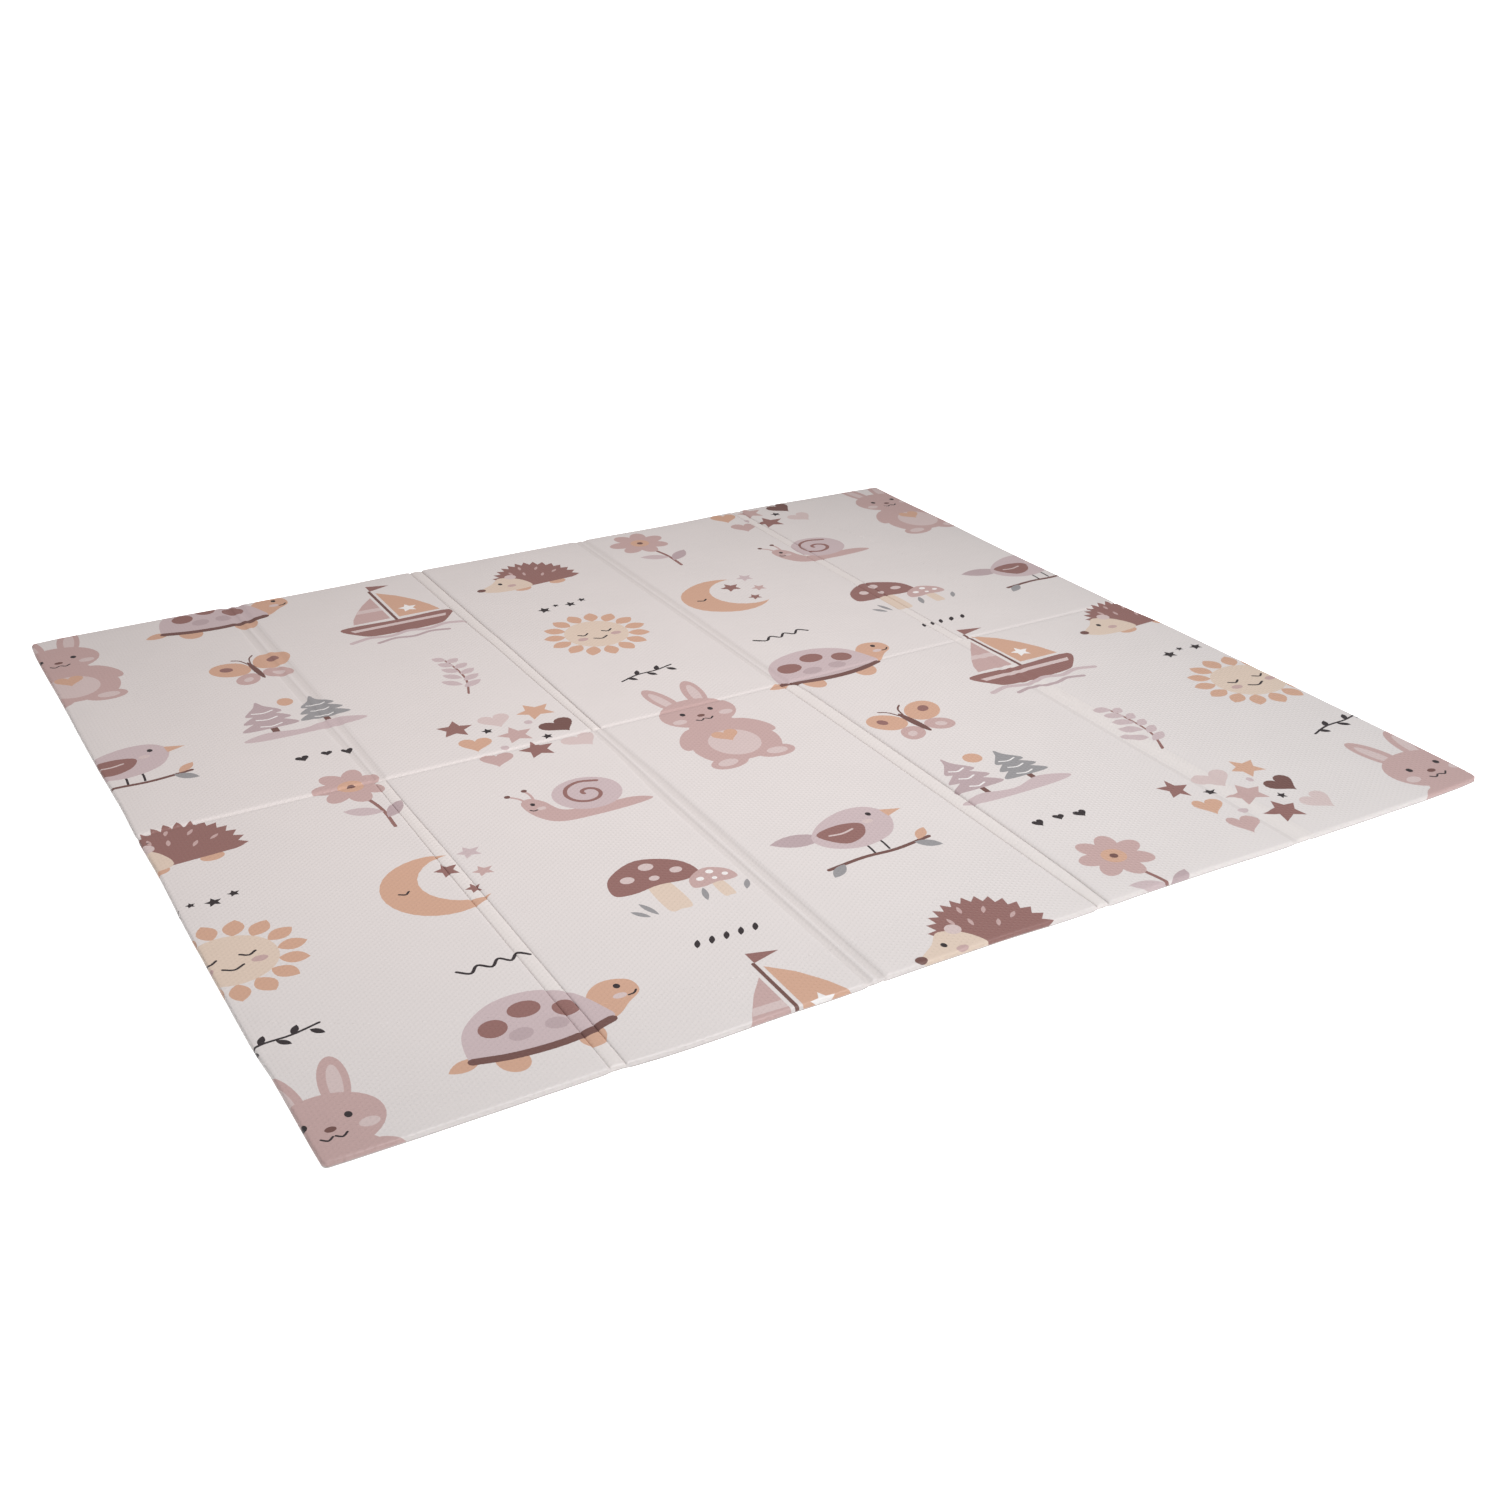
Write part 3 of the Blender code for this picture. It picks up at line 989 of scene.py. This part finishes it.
def edge_course(graph, across, along, low_rows, high_rows):
    """Course of the low edge or the high edge, whichever is nearer."""
    high = graph.math("GREATER_THAN", across, 0.0)
    return graph.mix(high, graph.profile(along, low_rows), graph.profile(along, high_rows))


def edge_stand(graph, given, course, off_fold, inset, ripple):
    """How far an edge stands out, or is drawn in at a fold."""
    near = graph.math("DIVIDE", off_fold, given["Fold Draw Reach"])
    notch = graph.math("EXPONENT", graph.times(near, near, -1.0))
    out = graph.minus(graph.times(course, MILLIMETRE), graph.times(notch, given["Fold Draw"]))
    return graph.plus(graph.times(out, graph.fade(inset, CORNER_RADIUS, STAND_FADE)),
                      graph.times(ripple, graph.fade(inset, 0.0, RIPPLE_FADE)))


def fold_course(graph, fold, t):
    """Shift of the fold strip's middle line, its stretch across, and its share of depth."""
    course = [0.0, 0.0, 0.0]
    for index, rows in enumerate(WANDER):
        off_fold = graph.math("ABSOLUTE", graph.minus(fold, index + 1.0))
        here = graph.minus(1.0, off_fold, clamp=True)
        tables = (
            [(y, shift) for y, shift, offset, share in rows],
            [(y, offset / SLIT_OFFSET - 1.0) for y, shift, offset, share in rows],
            [(y, share) for y, shift, offset, share in rows],
        )
        for part, table in enumerate(tables):
            value = graph.times(here, graph.profile(t, table))
            course[part] = graph.plus(course[part], value)
    return course


def lay_on_lines(graph, flat_x, t):
    """X of a place on the even sheet, once its lines lie as the real mat's do."""
    even = [PANEL_LENGTH * index - HALF_LENGTH for index in range(COLUMNS + 1)]
    front_x = graph.profile(flat_x, list(zip(even, FRONT_LINES)), "VECTOR")
    back_x = graph.profile(flat_x, list(zip(even, BACK_LINES)), "VECTOR")
    share = graph.math("DIVIDE", graph.plus(t, HALF_WIDTH), MAT_WIDTH, clamp=True)
    return graph.mix(share, front_x, back_x)


def dressed(graph, geometry, films):
    """The films with the look of each face's ink."""
    ink = graph.add("GeometryNodeInputNamedAttribute", {"Name": "ink"}, data_type="INT")
    for index, film_look in enumerate(films):
        chosen = graph.add("FunctionNodeCompare", {2: ink.outputs["Attribute"], 3: index},
                           data_type="INT", operation="EQUAL")
        geometry = graph.add("GeometryNodeSetMaterial", {
            "Geometry": geometry, "Selection": chosen.outputs[0],
            "Material": film_look}).outputs[0]
    return geometry


def press_tree(films):
    """Tree that presses the flat films to the relief and the outline of the mat."""
    graph, given, result = node_group("press_film", PRESS_INPUTS)
    calc, plus, minus, times = graph.math, graph.plus, graph.minus, graph.times
    mix, profile = graph.mix, graph.profile
    radius = given["Corner Radius"]

    # Place on the flat film: s to the right, t to the back
    place = graph.add("GeometryNodeInputPosition").outputs[0]
    s, t, side = graph.add("ShaderNodeSeparateXYZ", {0: place}).outputs
    under = calc("LESS_THAN", side, 0.0)
    side_s, side_t = calc("SIGN", s), calc("SIGN", t)
    film_s, drawn_s, inset_s, part_s = from_edge(graph, s, HALF_LENGTH, radius)
    film_t, drawn_t, inset_t, part_t = from_edge(graph, t, HALF_WIDTH, radius)
    film = calc("MINIMUM", film_s, film_t)
    rise = mix(under, profile(film, table_column(RIM, TOP_RISE)),
               profile(film, table_column(RIM, UNDERSIDE_RISE)))

    # Nearest fold strip, and whether it is pinched there
    fold = calc("ROUND", calc("DIVIDE", plus(s, HALF_LENGTH), PANEL_LENGTH))
    fold = calc("MINIMUM", calc("MAXIMUM", fold, 1.0), COLUMNS - 1.0)
    off_strip = minus(plus(s, HALF_LENGTH), times(fold, PANEL_LENGTH))
    off_groove = minus(t, GROOVE_Y)
    away = calc("ABSOLUTE", off_strip)
    back = graph.ease(off_groove, -BLEND_REACH, BLEND_REACH)
    pinched = calc("ABSOLUTE", minus(calc("MODULO", fold, 2.0), back))
    pinched = calc("ABSOLUTE", minus(pinched, under))
    pinch = times(profile(away, table_column(STRIP, PINCHED, FILM)), pinched,
                  calc("SIGN", off_strip), rise)

    # Depth and wander of the strips and of the cross groove
    shift, stretch, press = fold_course(graph, fold, t)
    strip_depth = mix(pinched, profile(away, table_column(STRIP, TROUGH_DEPTH)),
                      profile(away, table_column(STRIP, SLIT_DEPTH)))
    groove_depth = profile(calc("ABSOLUTE", off_groove), GROOVE)
    groove_shift = profile(s, [(x, shifted) for x, shifted, share in GROOVE_WANDER])
    groove_press = profile(s, [(x, share) for x, shifted, share in GROOVE_WANDER])
    depth = calc("MAXIMUM", times(strip_depth, press), times(groove_depth, groove_press))
    wander = times(plus(shift, times(stretch, plus(off_strip, pinch))),
                   graph.fade(away, *WANDER_FADE))
    groove_wander = times(groove_shift, graph.fade(calc("ABSOLUTE", off_groove), *GROOVE_FADE))

    # Outline
    ripple = times(noise_about_zero(graph, s, t, *RIPPLE_NOISE), given["Rim Ripple"])
    stand_s = edge_stand(graph, given, edge_course(graph, s, t, LEFT_STAND, RIGHT_STAND),
                         off_groove, inset_s, ripple)
    stand_t = edge_stand(graph, given, edge_course(graph, t, s, FRONT_STAND, BACK_STAND),
                         off_strip, inset_t, ripple)
    in_s = plus(drawn_s, corner_shift(graph, part_s, part_t, radius))
    in_t = plus(drawn_t, corner_shift(graph, part_t, part_s, radius))
    flat_x = plus(plus(minus(s, times(side_s, in_s)), pinch), wander)
    x = plus(lay_on_lines(graph, flat_x, t), times(side_s, stand_s))
    y = plus(minus(t, times(side_t, minus(in_t, stand_t))), groove_wander)

    # Height
    wave = times(noise_about_zero(graph, s, t, *WAVE_NOISE), given["Panel Wave"])
    top_z = plus(minus(given["Thickness"], depth), wave)
    face_z = mix(under, top_z, times(depth, given["Underside Depth"]))
    z = mix(rise, given["Seal Height"], face_z)

    # Marks that the looks of the film read
    made = given["Geometry"]
    marks = {"strip": times(graph.fade(away, *STRIP_MARK_FADE), pinched),
             "rim": graph.fade(film, 0.0, RIM_FILM)}
    for name, value in marks.items():
        made = graph.add("GeometryNodeStoreNamedAttribute", {
            "Geometry": made, "Name": name, "Value": value}).outputs[0]

    moved_to = graph.add("ShaderNodeCombineXYZ", {"X": x, "Y": y, "Z": z}).outputs[0]
    made = graph.add("GeometryNodeSetPosition", {
        "Geometry": made, "Position": moved_to}).outputs[0]
    made = graph.add("GeometryNodeMergeByDistance", {
        "Geometry": made, "Distance": given["Weld Distance"]}).outputs[0]
    made = graph.add("GeometryNodeRealizeInstances", {"Geometry": made}).outputs[0]
    graph.tree.links.new(dressed(graph, made, films), result["Geometry"])
    return graph


def film_material(name, colour):
    """Embossed film in one ink, with fine wrinkles on the strips and along the rim."""
    material = bpy.data.materials.new("film_" + name)
    material.use_nodes = True
    graph = Graph(material.node_tree)
    times = graph.times
    shader = material.node_tree.nodes["Principled BSDF"].inputs
    place = graph.add("ShaderNodeTexCoord").outputs["Object"]
    x, y, z = graph.add("ShaderNodeSeparateXYZ", {0: place}).outputs

    def noise(scale, detail, vector=place):
        feeds = {"Vector": vector, "Scale": scale, "Detail": detail}
        return graph.add("ShaderNodeTexNoise", feeds).outputs[0]

    def mark(attribute):
        return graph.add("ShaderNodeAttribute", attribute_name=attribute).outputs["Fac"]

    waves = [graph.math("COSINE", times(axis, 2 * math.pi / length))
             for axis, length in ((x, EMBOSS_LENGTH), (y, EMBOSS_WIDTH))]
    emboss = graph.ease(times(*waves), *EMBOSS_EDGE)
    across = graph.add("ShaderNodeCombineXYZ", {
        "X": times(x, STRIP_WRINKLE_SQUEEZE), "Y": y}).outputs[0]
    height = times(emboss, EMBOSS_HEIGHT)
    for relief, amount in (
        (noise(*WRINKLE_NOISE), WRINKLE_HEIGHT),
        (times(noise(*STRIP_WRINKLE_NOISE, across), mark("strip")), STRIP_WRINKLE_HEIGHT),
        (times(noise(*RIM_WRINKLE_NOISE), mark("rim")), RIM_WRINKLE_HEIGHT),
    ):
        height = graph.plus(height, times(relief, amount))
    bump = graph.add("ShaderNodeBump", {"Height": height, "Distance": MILLIMETRE})
    graph.tree.links.new(bump.outputs[0], shader["Normal"])
    rough = graph.ease(noise(*SHEEN_NOISE), *SHEEN_EDGE)
    graph.tree.links.new(graph.mix(rough, *ROUGHNESS), shader["Roughness"])
    shader["Base Color"].default_value = (*colour, 1.0)
    shader["Specular IOR Level"].default_value = SPECULAR
    return material


def play_mat():
    films = [film_material(name, colour) for name, colour in INKS.items()]
    mesh = run_tree(flat_films(), "press_film", press_tree(films), PRESS_INPUTS)
    mesh.shade_smooth()
    mat = bpy.data.objects.new("play_mat", mesh)
    bpy.context.scene.collection.objects.link(mat)
    return mat


def white_to_camera(graph, strength, socket):
    """Full white where the camera looks, and only some of that light on the mat."""
    seen = graph.add("ShaderNodeLightPath").outputs["Is Camera Ray"]
    graph.tree.links.new(graph.mix(seen, strength, 1.0), socket)


def white_floor():
    bpy.ops.mesh.primitive_plane_add(size=FLOOR_SIZE)
    floor = bpy.context.object
    floor.name = "floor"
    white = bpy.data.materials.new("floor_white")
    white.use_nodes = True
    shader = white.node_tree.nodes["Principled BSDF"].inputs
    shader["Base Color"].default_value = FLOOR_COLOUR
    shader["Roughness"].default_value = FLOOR_ROUGHNESS
    shader["Emission Color"].default_value = WHITE
    white_to_camera(Graph(white.node_tree), FLOOR_GLOW, shader["Emission Strength"])
    floor.data.materials.append(white)


def white_world():
    world = bpy.data.worlds.new("studio_white")
    world.use_nodes = True
    sky = world.node_tree.nodes["Background"].inputs
    sky["Color"].default_value = WHITE
    white_to_camera(Graph(world.node_tree), WORLD_STRENGTH, sky["Strength"])
    bpy.context.scene.world = world


def lamp(name, place, aim, power, beam, radius, colour):
    light = bpy.data.lights.new(name, "SPOT")
    light.energy = power
    light.color = colour
    light.spot_size = math.radians(beam)
    light.spot_blend = 1.0
    light.shadow_soft_size = radius
    stand = bpy.data.objects.new(name, light)
    stand.location = place
    stand.rotation_euler = (Vector(aim) - Vector(place)).to_track_quat("-Z", "Y").to_euler()
    bpy.context.scene.collection.objects.link(stand)


def photo_camera():
    """The camera that took the photo."""
    lens = bpy.data.cameras.new("camera")
    lens.lens = CAMERA_LENS
    lens.sensor_width = CAMERA_SENSOR
    camera = bpy.data.objects.new("camera", lens)
    camera.location = CAMERA_PLACE
    heading, pitch, roll = (Matrix.Rotation(math.radians(angle), 3, axis) for angle, axis in (
        (-CAMERA_HEADING, "Z"), (90.0 - CAMERA_PITCH, "X"), (CAMERA_ROLL, "Z")))
    camera.rotation_euler = (heading @ pitch @ roll).to_euler()
    bpy.context.scene.collection.objects.link(camera)
    bpy.context.scene.camera = camera


def studio():
    """White surroundings, lamps and camera."""
    white_floor()
    white_world()
    for row in LAMPS:
        lamp(*row)
    photo_camera()
    bpy.context.scene.view_settings.view_transform = "Standard"


mat = play_mat()
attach(mat, BODY)
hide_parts(NODE)
studio()
